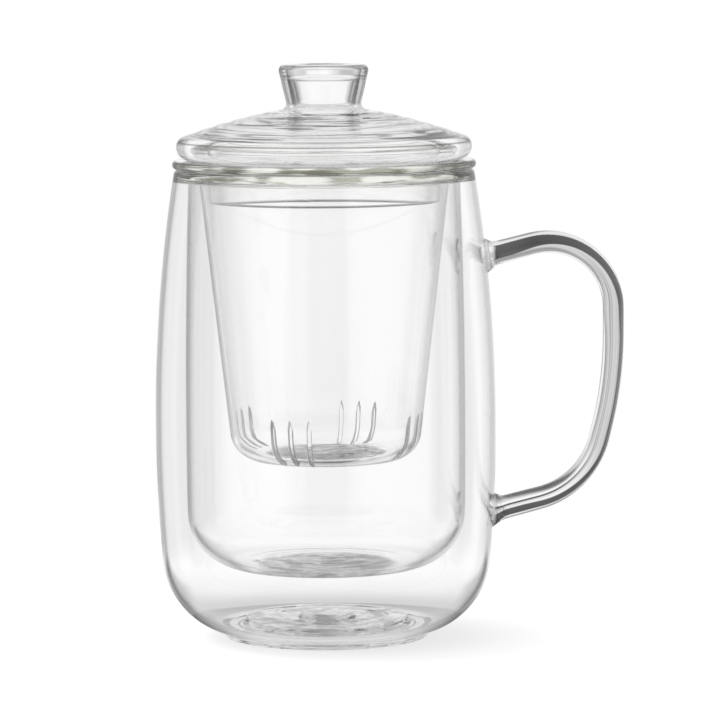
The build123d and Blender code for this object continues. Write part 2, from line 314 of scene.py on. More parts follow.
class InfuserSizes(bpy.types.PropertyGroup):
    """Sizes of the hanging basket and its slits."""

    wall: length("Wall", "Thickness of the basket's wall", 0.0012)
    floor: length("Floor", "Thickness of the basket's floor at its edge", 0.0013)
    pool: length("Pool", "Rise of the thicker glass in the middle of that floor", 0.0009)
    wave: length("Wave", "Width of the uneven waves in that floor", 0.0045)
    foot_radius: length("Foot radius", "Radius of the basket at its foot", 0.024)
    neck_gap: length("Neck gap", "Gap between the basket and the inner wall at the neck", 0.00135)
    corner: length("Corner", "Outside radius of the bottom corner", 0.008)
    inner_corner: length("Inner corner", "Inside radius of the bottom corner", 0.0068)
    flange: length("Flange", "Thickness of the flange", 0.0022)
    flange_edge: length("Flange edge", "Radius of the flange's edge", 0.00099)
    flange_root: length("Flange root", "Radius where the flange turns into the wall", 0.0012)
    slit_width: length("Slit width", "Width of each slit", 0.0011)
    slit_rise: length("Slit rise", "Height of a slit's tip above the basket's foot", 0.0127)
    slit_reach: length("Slit reach", "How far a slit runs in under the foot", 0.0055)
    blade_radius: length("Blade radius", "Radius of the blade that sawed the slits", 0.0125)
    blade_bevel: length("Blade bevel", "Width of the blade's sharpened edge", 0.0016)
    blade_tip: share("Blade tip", "Thickness of the blade at its edge, as a share", 0.15)
    slit_groups: count("Slit groups", "Groups of slits round the foot", 4)
    group_slits: count("Slits per group", "Slits in each group", 3)
    slit_pitch: angle("Slit pitch", "Turn from one slit of a group to the next", 11.3)
    group_turn: angle("Group turn", "Turn of the first group from the handle", -20.8)


class LidSizes(bpy.types.PropertyGroup):
    """Sizes of the dome, its collar and its knob."""

    wall: length("Wall", "Thickness of the dome", 0.0018)
    edge_height: length("Edge height", "Height of the dome's thick edge", 0.0053)
    edge_width: length("Edge width", "Width of the dome's thick edge", 0.0036)
    edge_round: length("Edge round", "Radius of the edge's upper corner", 0.0026)
    seat_round: length("Seat round", "Radius of the edge's lower corner", 0.0032)
    root_round: length("Root round", "Radius inside the thick edge", 0.0015)
    bulge: length("Bulge", "Rise of the crown above a straight cone", 0.0006)
    ripple: length("Ripple", "Height of the rings in the crown", 0.0001)
    ripple_pitch: length("Ripple pitch", "Distance between those rings", 0.0043)
    waves: length("Waves", "Height of the uneven waves in the crown", 0.00012)
    wave: length("Wave", "Width of those waves", 0.008)
    collar_wall: length("Collar wall", "Thickness of the collar", 0.0012)
    collar_round: length("Collar round", "Radius of the collar's lower edges", 0.00059)
    knob_neck: length("Knob neck", "Radius of the knob's neck", 0.00965)
    knob_top_radius: length("Knob top radius", "Radius of the knob's top before rounding", 0.01195)
    knob_foot: length("Knob foot", "Radius of the curve where the knob spreads on the dome", 0.0016)
    knob_edge: length("Knob edge", "Radius of the knob's upper edge", 0.0015)
    knob_bore: length("Knob bore", "Radius of the hollow in the knob", 0.0079)
    knob_wall: length("Knob wall", "Thickness of the knob's flared wall", 0.0019)
    knob_top: length("Knob top", "Thickness of the knob's top", 0.0022)
    bore_round: length("Bore round", "Radius at the top of the hollow", 0.0018)
    dish_radius: length("Dish radius", "Radius of the dish in the knob's top", 0.008)
    dish_depth: length("Dish depth", "Depth of the dish", 0.0009)


class GlassLook(bpy.types.PropertyGroup):
    """Colours and strengths of the glass, with the shade painted where it is seen along its surface."""

    tint: colour("Tint", "Colour of glass seen square on", (0.998, 0.999, 0.998))
    # Edge colours: shade painted into the glass where it is seen along its surface, and how far towards
    # grazing it begins
    edge: colour("Edge", "Colour of thin glass seen along its surface", (0.55, 0.57, 0.55))
    outer_edge_shade: colour("Outer edge", "Colour of the outer wall seen along its surface", (0.93, 0.94, 0.93))
    thick_edge_shade: colour("Thick edge", "Colour of the lid seen along its surface", (0.6, 0.61, 0.6))
    edge_shade_start: share("Edge start", "How far towards grazing the edge colours begin", 0.84)
    thin_shadow: share("Thin shadow", "Share of a lamp's light that passes each surface", 0.995)
    base_shadow: share("Base shadow", "Share of it that passes each surface of the base", 0.68)
    base_height: length("Base height", "Height up to which the base darkens the shadow", 0.022)
    base_reach: length("Base reach", "Radius up to which it does", 0.048)
    olive: colour("Olive", "Colour of the patches in the rim", (0.24, 0.24, 0.19))
    pale_olive: colour("Pale olive", "Colour of the thick glass in the rim", (0.96, 0.96, 0.9))
    wall_bump: length("Wall bump", "Height of the faint waves in the walls and the dome", 0.00002)
    seal_bump: length("Seal bump", "Height of the faint rings in the vent seal", 0.00003)
    rod_bump: length("Rod bump", "Height of the faint waves in the rod", 0.00001)
    knob_bump: length("Knob bump", "Height of the faint rings in the knob", 0.00004)
    frost_bump: length("Frost bump", "Height of the grain of sawn glass", 0.00005)
    frost_scale: number("Frost scale", "Grains per metre of sawn glass", 4000.0)
    wave_scale: number("Wave scale", "Waves per metre in the walls", 45.0)
    ring_scale: number("Ring scale", "Rings per metre in the lid", 250.0)
    ring_turns: number("Ring turns", "Changes of a ring on its way round", 0.65)


class StageLook(bpy.types.PropertyGroup):
    """Camera, floor, sun lamp and room."""

    camera_distance: length("Camera distance", "From the mug's axis to the camera", 1.166)
    camera_height: length("Camera height", "Height of the camera above the table", 0.1866)
    camera_side: length("Camera side", "How far the camera stands towards the handle", 0.00766)
    aim_height: length("Aim height", "Height on the axis that the camera aims at", 0.073)
    roll: angle("Roll", "Lean of the picture", 0.35)
    lens: number("Lens", "Focal length in millimetres", 229.5, "CAMERA")
    floor_radius: length("Floor radius", "Radius of the white floor, which runs on as a white room", 0.22)
    floor_glow: share("Floor glow", "Share of the floor's white that no shadow takes away", 0.6)
    sun_strength: number("Sun strength", "Strength of the sun lamp", 2.1)
    sun_size: angle("Sun size", "Angle that the sun lamp covers", 30)
    beside: colour("Beside", "Colour of the darker strips of floor in the glass", (0.22, 0.22, 0.22))
    table: colour("Table", "Colour that the glass mirrors from far below", (0.95, 0.95, 0.95))
    zenith: colour("Zenith", "Colour that the glass mirrors from above", (0.9, 0.9, 0.9))
    cornice: colour("Cornice", "Colour of the band under the ceiling", (0.8, 0.8, 0.8))
    front: colour("Front", "Colour that the glass mirrors from the camera's side", (0.62, 0.62, 0.62))


class TeaMugSettings(bpy.types.PropertyGroup):
    """All settings of the mug."""

    mug: section(MugSizes, "Mug", "Double wall and base")
    handle: section(HandleSizes, "Handle", "Bent rod")
    infuser: section(InfuserSizes, "Infuser", "Basket and slits")
    lid: section(LidSizes, "Lid", "Dome, collar and knob")
    glass: section(GlassLook, "Glass", "Look of the glass")
    stage: section(StageLook, "Stage", "Camera, floor, sun lamp and room")


# Outlines are lists of points, radius and height, with a third number where a corner is rounded


def arc(centre, radius, start, end, steps):
    """Points on an arc, angles from the outward direction."""
    turns = [start + (end - start) * i / steps for i in range(steps + 1)]
    return [(centre[0] + radius * cos(t), centre[1] + radius * sin(t)) for t in turns]


def bow_radius(rise, inset):
    """Radius of an arc that starts upright and comes in by the inset over the rise."""
    return (rise**2 + inset**2) / (2 * inset)


def bowed_side(widest, belly, bow, bottom, top, corner, steps=44):
    """A rounded corner from a flat bottom that flows into a bowed side up to the top."""
    bow_centre = (widest - bow, belly)
    corner_z = bottom + corner
    corner_x = bow_centre[0] + sqrt((bow - corner) ** 2 - (corner_z - belly) ** 2)
    meet = atan2(corner_z - belly, corner_x - bow_centre[0])
    turned = arc((corner_x, corner_z), corner, -pi / 2, meet, steps)
    side = arc(bow_centre, bow, meet, asin((top - belly) / bow), 3 * steps)
    return eased(turned + side[1:])


def eased(points, passes=14):
    """A run of points whose turns are evened out, with both its ends kept."""
    for _ in range(passes):
        inner = zip(points, points[1:], points[2:])
        middle = [((a[0] + 2 * b[0] + c[0]) / 4, (a[1] + 2 * b[1] + c[1]) / 4) for a, b, c in inner]
        points = [points[0], *middle, points[-1]]
    return points


def crown(start, bulge, end, steps=60):
    """A bulged run from the start to the end, its middle raised by the bulge."""
    points = []
    for i in range(steps + 1):
        along = i / steps
        x = start[0] + (end[0] - start[0]) * along
        z = start[1] + (end[1] - start[1]) * along + 4 * bulge * along * (1 - along)
        points.append((x, z))
    return points


def ripples(points, depth, pitch):
    """A run of points with rings in it that fade towards both ends."""
    rippled = []
    for i, (x, z) in enumerate(points):
        fade = sin(pi * i / (len(points) - 1)) ** 0.5 if 0 < i < len(points) - 1 else 0
        rippled.append((x, z + depth * fade * sin(FULL_TURN * x / pitch)))
    return rippled


def floor_run(start, end, height, size, pool=0, edge=(0, 1), steps=72):
    """A flat run at a height with rings left by blowing, and a pool of glass inside an edge."""
    run = []
    for x, z in crown((start, height), 0, (end, height), steps):
        inside = max(0, min(1, (edge[1] - x) / (edge[1] - edge[0])))
        run.append((x, z + pool * inside * inside * (3 - 2 * inside)))
    return ripples(run, size.ripple, size.ripple_pitch)


def way_to(marks, outline, i, others):
    """Direction from a corner to the next corner, or to the first point clear of the rounding."""
    for j in others:
        if len(outline[j]) > 2 or (marks[j] - marks[i]).length > outline[i][2]:
            break
    return (marks[j] - marks[i]).normalized()


def rounded(outline, steps=10):
    """The outline with each marked corner turned into an arc."""
    marks = [Vector(p[:2]) for p in outline]
    points = []
    dropped = set()
    for i, corner in enumerate(outline):
        if len(corner) < 3:
            if i not in dropped:
                points.append(marks[i])
            continue
        here = marks[i]
        radius = corner[2]
        back = way_to(marks, outline, i, range(i - 1, -1, -1))
        ahead = way_to(marks, outline, i, range(i + 1, len(outline)))
        half = acos(max(-1, min(1, back.dot(ahead)))) / 2
        run = radius / tan(half)
        while len(outline[i - 1]) < 3 and points and (points[-1] - here).length < run:
            points.pop()
        for j in range(i + 1, len(outline)):
            if len(outline[j]) > 2 or (marks[j] - here).length >= run:
                break
            dropped.add(j)
        middle = here + (back + ahead).normalized() * radius / sin(half)
        start = here + back * run - middle
        end = here + ahead * run - middle
        turn = atan2(start.x * end.y - start.y * end.x, start.dot(end))
        for j in range(steps + 1):
            points.append(middle + Matrix.Rotation(turn * j / steps, 2) @ start)
    return points


# Modelling steps shared by the pieces


def open_piece(name):
    """Names the mesh that was just added and opens it for editing, with all of it selected."""
    piece = bpy.context.active_object
    piece.name = name
    piece.data.name = name
    bpy.ops.object.mode_set(mode="EDIT")
    bpy.ops.mesh.select_all(action="SELECT")
    return piece


def close_piece():
    """Merges the seam and the poles of the open mesh, turns its faces outwards and smooths them."""
    bpy.ops.mesh.select_all(action="SELECT")
    bpy.ops.mesh.remove_doubles(threshold=MERGE_GAP)
    bpy.ops.mesh.select_all(action="SELECT")
    bpy.ops.mesh.normals_make_consistent(inside=False)
    bpy.ops.object.mode_set(mode="OBJECT")
    bpy.ops.object.shade_smooth_by_angle(angle=SMOOTH_ANGLE)


def select_only(*pieces):
    """Selects pieces, the first of them as the active one."""
    bpy.ops.object.select_all(action="DESELECT")
    for piece in pieces:
        piece.select_set(True)
    bpy.context.view_layer.objects.active = pieces[0]


def spin_outline(name, outline, steps=160):
    """Draws an outline by extruding one vertex along it, then spins it into a closed solid."""
    points = [Vector((p[0], 0, p[1])) for p in outline]
    bpy.ops.object.select_all(action="DESELECT")
    bpy.ops.mesh.primitive_plane_add(size=0.001, location=(0, 0, 0))
    piece = open_piece(name)
    bpy.ops.mesh.merge(type="CENTER")
    bpy.ops.transform.translate(value=points[0])
    for last, point in zip(points, points[1:]):
        bpy.ops.mesh.extrude_vertices_move(TRANSFORM_OT_translate={"value": point - last})
    bpy.ops.mesh.select_all(action="SELECT")
    bpy.ops.mesh.spin(steps=steps, angle=FULL_TURN, center=(0, 0, 0), axis=(0, 0, 1))
    close_piece()
    return piece


def sweep_ring(name, stations, vertices=64):
    """Extrudes a disc along stations, each a place, the way it faces in the XZ plane, and a radius."""
    place, facing, radius = stations[0]
    bpy.ops.object.select_all(action="DESELECT")
    bpy.ops.mesh.primitive_circle_add(
        vertices=vertices, radius=radius, fill_type="NGON", location=(0, 0, 0)
    )
    piece = open_piece(name)
    turn_ring(pi / 2 - facing, (0, 0, 0))
    bpy.ops.transform.translate(value=place)
    for (last, last_facing, last_radius), (place, facing, radius) in zip(stations, stations[1:]):
        bpy.ops.mesh.extrude_region_move(TRANSFORM_OT_translate={"value": place - last})
        turn_ring(last_facing - facing, place)
        scale = radius / last_radius
        bpy.ops.transform.resize(value=(scale, scale, scale), center_override=place)
    close_piece()
    return piece


def turn_ring(turn, place):
    """Turns the selection about a line along Y through a place; the operator itself turns the other way."""
    bpy.ops.transform.rotate(value=-turn, orient_axis="Y", orient_type="GLOBAL", center_override=place)


def make_waves(piece, radius, low, high, strength, scale):
    """Makes the upper side of a floor or a crown uneven, inside a radius and between two heights."""
    group = piece.vertex_groups.new(name="upper_side")
    for vertex in piece.data.vertices:
        reach = vertex.co.xy.length / radius
        if reach < 1 and low < vertex.co.z < high and vertex.normal.z > UPPER_SIDE:
            group.add([vertex.index], 1 - reach**WAVE_POWER, "REPLACE")
    clouds = bpy.data.textures.new(piece.name + "_waves", "CLOUDS")
    clouds.noise_scale = scale
    clouds.noise_depth = 1
    wave = piece.modifiers.new("Waves", "DISPLACE")
    wave.texture = clouds
    wave.texture_coords = "LOCAL"
    wave.direction = "Z"
    wave.strength = strength
    wave.mid_level = 0.5
    wave.vertex_group = group.name
    bpy.ops.object.modifier_apply(modifier=wave.name)
    piece.vertex_groups.clear()


def finish_piece(piece, body, node, material):
    """Gives a piece its glass and ties it to the frame."""
    if material:
        piece.data.materials.append(material)
    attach(piece, body)
    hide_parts(node)


# Node trees


class Graph:
    """Fills an empty node tree and links its nodes."""

    def __init__(self, owner):
        owner.use_nodes = True
        self.tree = owner.node_tree
        self.tree.nodes.clear()

    def add(self, kind, inputs=None, **settings):
        """A node with its settings, and inputs that are values or other nodes' outputs."""
        node = self.tree.nodes.new("ShaderNode" + kind)
        for name, value in settings.items():
            setattr(node, name, value)
        for name, value in (inputs or {}).items():
            self.feed(node.inputs[name], value)
        return node

    def feed(self, socket, value):
        """Links an output to an input, or sets the input to a number, a vector or a colour."""
        if isinstance(value, bpy.types.NodeSocket):
            self.tree.links.new(value, socket)
        elif socket.type == "RGBA":
            socket.default_value = (*value, 1)
        else:
            socket.default_value = value

    def math(self, operation, first, second=0.0):
        """A number made from one or two others."""
        return self.add("Math", {0: first, 1: second}, operation=operation).outputs[0]

    def vector(self, operation, first, second=(0.0, 0.0, 0.0)):
        """A vector made from one or two others."""
        return self.add("VectorMath", {0: first, 1: second}, operation=operation).outputs["Vector"]

    def measure(self, operation, first, second=(0.0, 0.0, 0.0)):
        """A number made from one or two vectors."""
        return self.add("VectorMath", {0: first, 1: second}, operation=operation).outputs["Value"]

    def parts(self, vector):
        """The X, Y and Z of a vector."""
        return self.add("SeparateXYZ", {"Vector": vector}).outputs

    def reach(self, place):
        """How far a place is from the mug's axis."""
        return self.measure("LENGTH", self.vector("MULTIPLY", place, (1.0, 1.0, 0.0)))

    def rise(self):
        """How far the surface faces upwards, from minus one to one."""
        return self.parts(self.add("TexCoord").outputs["Normal"])["Z"]

    def facing(self):
        """Nought where a surface is seen square on, one where it is seen along itself."""
        return self.add("LayerWeight", {"Blend": 0.5}).outputs["Facing"]

    def ease(self, value, low, high):
        """Rises smoothly from nought to one between two values; the other way round, it falls."""
        node = self.add("MapRange", {"Value": value, "From Min": low, "From Max": high})
        node.interpolation_type = "SMOOTHSTEP"
        return node.outputs["Result"]

    def between(self, value, stops):
        """Rises smoothly between the first two of four values and falls between the other two."""
        rise = self.ease(value, stops[0], stops[1])
        return self.math("MULTIPLY", rise, self.ease(value, stops[3], stops[2]))

    def ramp(self, value, stops):
        """A colour for each value, from stops of a place and a level or colour."""
        node = self.add("ValToRGB", {"Fac": value})
        for place, level in stops[1:-1]:
            node.color_ramp.elements.new(place)
        for stop, (place, level) in zip(node.color_ramp.elements, stops):
            stop.position = place
            stop.color = (level, level, level, 1) if isinstance(level, float) else (*level, 1)
        return node.outputs["Color"]

    def blend(self, factor, first, second, blend_type="MIX"):
        """A colour between two, or one times the other."""
        node = self.add("MixRGB", {"Fac": factor, "Color1": first, "Color2": second})
        node.blend_type = blend_type
        return node.outputs["Color"]


def make_glass(name, bump_height, edge, shade=None, ringed=False):
    """Clear glass with faint waves, with painted shade where it is seen along its surface."""
    look = bpy.context.scene.tea_mug.glass
    material = bpy.data.materials.new(name)
    graph = Graph(material)
    place = graph.add("TexCoord").outputs["Object"]
    waves = glass_waves(graph, place, ringed)
    # Painted shade: the tint darkens towards the edge colour where the glass is seen along its surface
    clear = graph.ramp(graph.facing(), ((look.edge_shade_start, tuple(look.tint)), (1.0, tuple(edge))))
    if shade:
        clear = graph.blend(1.0, clear, shade(graph, place), "MULTIPLY")
    finish_glass(graph, place, clear, waves, bump_height)
    return material


def make_frosted(name):
    """Sawn glass, pale and matt."""
    look = bpy.context.scene.tea_mug.glass
    material = bpy.data.materials.new(name)
    graph = Graph(material)
    place = graph.add("TexCoord").outputs["Object"]
    grain = graph.add("TexNoise", {"Vector": place, "Scale": look.frost_scale, "Detail": 2.0})
    pale = graph.ramp(grain.outputs["Fac"], FROST_LEVELS)
    finish_glass(graph, place, pale, grain.outputs["Fac"], look.frost_bump, FROST_MATT, FROST_CLEAR)
    return material


def finish_glass(graph, place, tone, bumps, bump_height, roughness=0.0, transmission=1.0):
    """Uneven glass of a tone that lamps shine through, less so through the base."""
    look = bpy.context.scene.tea_mug.glass
    bump = graph.add("Bump", {"Height": bumps, "Distance": bump_height})
    glass = graph.add(
        "BsdfPrincipled",
        {
            "Base Color": tone,
            "Roughness": roughness,
            "IOR": GLASS_IOR,
            "Transmission Weight": transmission,
            "Normal": bump.outputs["Normal"],
        },
    )
    outside = graph.math("DIVIDE", graph.reach(place), look.base_reach)
    above = graph.math("DIVIDE", graph.parts(place)["Z"], look.base_height)
    away = graph.math("MAXIMUM", above, outside)
    passed = graph.ramp(away, ((DARK_BASE, look.base_shadow), (1.0, look.thin_shadow)))
    clear = graph.add("BsdfTransparent", {"Color": passed})
    shadow = graph.add("LightPath").outputs["Is Shadow Ray"]
    mix = graph.add("MixShader", {0: shadow, 1: glass.outputs["BSDF"], 2: clear.outputs["BSDF"]})
    graph.add("OutputMaterial", {"Surface": mix.outputs["Shader"]})


def glass_waves(graph, place, ringed):
    """Slow waves as in blown glass, or rings round the axis as in spun glass."""
    scale = bpy.context.scene.tea_mug.glass.wave_scale
    if ringed:
        spots = ringed_place(graph, place)
    else:
        spots = graph.vector("MULTIPLY", place, (scale, scale, scale))
    noise = graph.add("TexNoise", {"Vector": spots, "Scale": 1.0, "Detail": 1.0, "Roughness": 0.4})
    return noise.outputs["Fac"]


def ringed_place(graph, place):
    """A place for noise that changes fast outwards and slowly round the axis, as in spun glass."""
    look = bpy.context.scene.tea_mug.glass
    turned = graph.vector("NORMALIZE", graph.vector("MULTIPLY", place, (1.0, 1.0, 0.0)))
    turned = graph.vector("MULTIPLY", turned, (look.ring_turns, look.ring_turns, 0.0))
    outwards = graph.math("SUBTRACT", graph.reach(place), graph.parts(place)["Z"])
    rings = graph.add("CombineXYZ", {"Z": graph.math("MULTIPLY", outwards, look.ring_scale)})
    return graph.vector("ADD", turned, rings.outputs["Vector"])


# Shades darken the glass's colour by place: the olive is the glass's own tint, the others are painted
# shade; each is called with a graph and a place


def layered(*shades):
    """Shades laid over each other."""

    def shade(graph, place):
        drawn = shades[0](graph, place)
        for other in shades[1:]:
            drawn = graph.blend(1.0, drawn, other(graph, place), "MULTIPLY")
        return drawn

    return shade


def olive_shade(low, high):
    """Patches of olive in the pale olive glass between two heights."""

    def shade(graph, place):
        look = bpy.context.scene.tea_mug.glass
        stops = (low, low + OLIVE_FADE[0], high - OLIVE_FADE[1], high)
        within = graph.between(graph.parts(place)["Z"], stops)
        spots = graph.vector("MULTIPLY", place, OLIVE_SCALE)
        noise = graph.add("TexNoise", {"Vector": spots, "Scale": 1.0, "Detail": 1.0}).outputs["Fac"]
        patches = graph.math("MULTIPLY", within, graph.ease(noise, *OLIVE_NOISE))
        pale = graph.blend(within, WHITE, look.pale_olive)
        return graph.blend(patches, pale, look.olive)

    return shade


def pool_shade(radius, top, streaks, shift=0):
    """Painted shade: dark streaks in the pool of thick glass on a floor, which may be shifted towards the
    front.
    """
    darkest, lightest, scale = streaks
    dim = lightest * POOL_DIM
    stops = [(0.4, darkest), (0.47, darkest * 2), (0.5, lightest), (0.56, lightest)]
    stops += [(0.59, dim), (0.63, lightest), (0.68, dim)]

    def shade(graph, place):
        centred = graph.vector("ADD", place, (0.0, shift, 0.0))
        inside = graph.ease(graph.reach(centred), radius, radius * POOL_FULL)
        below = graph.ease(graph.parts(place)["Z"], top, top - POOL_FADE)
        noise = graph.add("TexNoise", {"Vector": place, "Scale": scale, "Detail": 1.0, "Distortion": 1.6})
        drawn = graph.ramp(noise.outputs["Fac"], stops)
        return graph.blend(graph.math("MULTIPLY", inside, below), WHITE, drawn)

    return shade


def edge_shade_lines(stops):
    """Painted shade lines where an upright or rounded wall is seen along its surface, but not on a floor.
    """

    def shade(graph, place):
        walls = graph.ease(graph.math("ABSOLUTE", graph.rise()), *FLOOR_TO_WALL)
        return graph.blend(walls, WHITE, graph.ramp(graph.facing(), stops))

    return shade


def lid_shade(graph, place):
    """Painted shade streaks along the rings of the crown and lines round the thick edge, with a clear ring
    round the knob.
    """
    raised = graph.math("SUBTRACT", graph.parts(place)["Z"], DOME_LOW.z)
    edge_height = bpy.context.scene.tea_mug.lid.edge_height
    edge = graph.ramp(graph.math("DIVIDE", raised, edge_height), LID_EDGE_SHADE)
    streaks = graph.ramp(glass_waves(graph, place, True), LID_SHADE_STREAKS)
    drawn = graph.blend(graph.ease(graph.rise(), *EDGE_TO_CROWN), edge, streaks)
    lined = graph.blend(1.0, drawn, graph.ramp(graph.facing(), CROWN_SHADE_LINES), "MULTIPLY")
    return graph.blend(graph.ease(graph.reach(place), *CLEAR_RING), lined, WHITE)


def knob_shade(graph, place):
    """Painted shade lines along the walls of the knob, but not on its foot."""
    raised = graph.math("SUBTRACT", graph.parts(place)["Z"], DOME_HIGH.z)
    return graph.blend(graph.ease(raised, *CLEAR_FOOT), edge_shade_lines(KNOB_SHADE_LINES)(graph, place), WHITE)


def collar_shade(graph, place):
    """A painted shade line along the collar's lower edge."""
    raised = graph.math("SUBTRACT", graph.parts(place)["Z"], COLLAR_LOW.z)
    return graph.ramp(graph.math("MULTIPLY", raised, MILLIMETRES), COLLAR_SHADE_LINE)


def handle_shade(graph, place):
    """Painted shade: dark streaks and thin lines along the bent rod, where the light that enters it would
    show them.
    """
    low, high = HANDLE_LOW, HANDLE_HIGH
    middle = (low.x + (high.x - low.x) * ROD_MIDDLE, 0.0, (low.z + high.z) / 2)
    outwards = graph.vector("MULTIPLY", graph.vector("SUBTRACT", place, middle), (1.0, 0.0, 1.0))
    outwards = graph.vector("NORMALIZE", outwards)
    side = graph.measure("DOT_PRODUCT", outwards, graph.add("TexCoord").outputs["Normal"])
    across = graph.math("ADD", graph.math("MULTIPLY", side, 0.5), 0.5)
    from_middle = graph.parts(outwards)
    turn = graph.math("ARCTAN2", from_middle["Z"], from_middle["X"])
    along = graph.math("ADD", graph.math("DIVIDE", turn, ROD_TURN), 0.5)
    start = graph.math("SUBTRACT", graph.ramp(along, ROD_SHADE_STARTS), 0.5)
    end = graph.math("SUBTRACT", graph.ramp(along, ROD_SHADE_ENDS), 0.5)
    past = graph.ease(graph.math("SUBTRACT", side, start), -ROD_SHADE_SOFT, ROD_SHADE_SOFT)
    within = graph.ease(graph.math("SUBTRACT", end, side), -ROD_SHADE_SOFT, ROD_SHADE_SOFT)
    lower, upright, upper = [graph.ramp(across, stops) for stops in (LOWER_SHADE_LINES, SIDE_SHADE_LINES, UPPER_SHADE_LINES)]
    lines = graph.blend(graph.ease(along, *TO_SIDE), lower, upright)
    lines = graph.blend(graph.ease(along, *TO_UPPER), lines, upper)
    drawn = graph.blend(graph.math("MULTIPLY", past, within), lines, graph.ramp(along, ROD_SHADE_LEVELS))
    off_wall = graph.math("SUBTRACT", graph.parts(place)["X"], low.x)
    entering = graph.math("SUBTRACT", 1.0, graph.add("NewGeometry").outputs["Backfacing"])
    shown = graph.math("MULTIPLY", graph.ease(off_wall, *ROD_START), entering)
    return graph.blend(shown, WHITE, drawn)


# Operators for the mug


class MakeOuterWall(bpy.types.Operator):
    """Blow the outer wall with its foot ring and its solid rim"""

    bl_idname = "tea_mug.outer_wall"
    bl_label = "Outer wall"

    def execute(self, context):
        size = context.scene.tea_mug.mug
        look = context.scene.tea_mug.glass
        top = OUTER_HIGH.z
        belly = OUTER_HIGH.x
        rim_bottom = top - size.rim_depth
        bow = bow_radius(top - size.belly_height, size.draw_in)
        outside = bowed_side(belly, size.belly_height, bow, size.base_lift, top, size.corner)
        outside = [p for p in outside if p[0] > size.foot_radius + size.base_lift]
        hollow = belly - size.wall
        hollow_bow = bow - size.wall
        floor = size.corner_floor
        inside = bowed_side(hollow, size.belly_height, hollow_bow, floor, rim_bottom, size.cavity_corner)
        neck = INNER_HIGH.x - size.inner_draw_in - size.fuse
        foot_inside = size.foot_radius - size.foot_width
        foot_round = size.base_lift / 2
        outline = floor_run(0, foot_inside - foot_round, size.base_lift, size)
        outline += [(foot_inside, 0, foot_round), (size.foot_radius, 0, foot_round)]
        outline += outside[:-1]
        outline += [(*outside[-1], size.rim_round), (neck, top), (neck, rim_bottom)]
        outline += [(*inside[-1], size.wall)]
        outline += inside[-2:0:-1]
        flat = inside[0][0]
        outline += floor_run(flat, 0, floor, size, size.base_top - floor, (size.pool_edge, flat))
        piece = spin_outline("outer_wall_glass", rounded(outline))
        pool_top = size.base_top + size.waves
        make_waves(piece, foot_inside, floor, pool_top, size.waves, size.base_wave)
        rim = olive_shade(rim_bottom, top)
        base = pool_shade(foot_inside, pool_top, BASE_POOL_SHADE)
        shade = layered(rim, base, edge_shade_lines(SHELL_SHADE_LINES))
        glass = make_glass("outer_wall_clear", look.wall_bump, look.outer_edge_shade, shade)
        finish_piece(piece, "mug", "outer_wall", glass)
        return {"FINISHED"}


class MakeInnerWall(bpy.types.Operator):
    """Blow the inner cup that holds the tea"""

    bl_idname = "tea_mug.inner_wall"
    bl_label = "Inner wall"

    def execute(self, context):
        size = context.scene.tea_mug.mug
        look = context.scene.tea_mug.glass
        top = INNER_HIGH.z
        low = INNER_LOW.z
        rim_bottom = top - size.rim_depth
        bow = bow_radius(rim_bottom - size.belly_height, size.inner_draw_in)
        floor = low + size.tea_floor
        cup = INNER_HIGH.x - size.inner_wall
        outside = bowed_side(INNER_HIGH.x, size.belly_height, bow, low, rim_bottom, size.inner_corner)
        cup_bow = bow - size.inner_wall
        inside = bowed_side(cup, size.belly_height, cup_bow, floor, rim_bottom, size.tea_corner)
        outline = floor_run(0, outside[0][0], low, size)
        outline += outside[1:]
        outline += [(outside[-1][0], top), (inside[-1][0], top, size.inner_wall / 2)]
        outline += inside[:0:-1]
        flat = inside[0][0]
        outline += floor_run(flat, 0, floor, size, size.tea_pool, (0, flat))
        piece = spin_outline("inner_wall_glass", rounded(outline))
        make_waves(piece, flat, low, floor + size.tea_pool + size.waves, size.waves, size.tea_wave)
        shade_streak_top = floor + size.shade_streak_rise
        pool = pool_shade(flat * size.shade_streak_reach, shade_streak_top, CUP_POOL_SHADE, size.shade_streak_shift)
        shade = layered(pool, edge_shade_lines(CUP_SHADE_LINES))
        glass = make_glass("inner_wall_clear", look.wall_bump, look.edge, shade)
        finish_piece(piece, "mug", "inner_wall", glass)
        return {"FINISHED"}


class MakeVentSeal(bpy.types.Operator):
    """Drop the glass button that seals the base"""

    bl_idname = "tea_mug.vent_seal"
    bl_label = "Vent seal"

    def execute(self, context):
        size = context.scene.tea_mug.mug
        low = size.base_top - size.fuse
        rise = SEAL_HIGH.z - low
        radius = SEAL_HIGH.x
        outline = [(0, low), (radius - rise / 2, low)]
        for point in arc((0, 0), 1, 0, pi / 2, 16):
            outline.append((radius - rise + rise * point[0], low + rise * point[1]))
        outline.append((0, SEAL_HIGH.z - size.fuse))
        piece = spin_outline("vent_seal_glass", outline, 96)
        look = context.scene.tea_mug.glass
        glass = make_glass("vent_seal_clear", look.seal_bump, look.edge, ringed=True)
        finish_piece(piece, "mug", "vent_seal", glass)
        return {"FINISHED"}


class MakeHandle(bpy.types.Operator):
    """Bend the rod and fuse both its ends to the wall"""

    bl_idname = "tea_mug.handle"
    bl_label = "Handle"

    def execute(self, context):
        settings = context.scene.tea_mug
        look = settings.glass
        piece = sweep_ring("handle_glass", handle_stations(settings))
        glass = make_glass("handle_clear", look.rod_bump, look.outer_edge_shade, handle_shade)
        finish_piece(piece, "mug", "handle", glass)
        return {"FINISHED"}


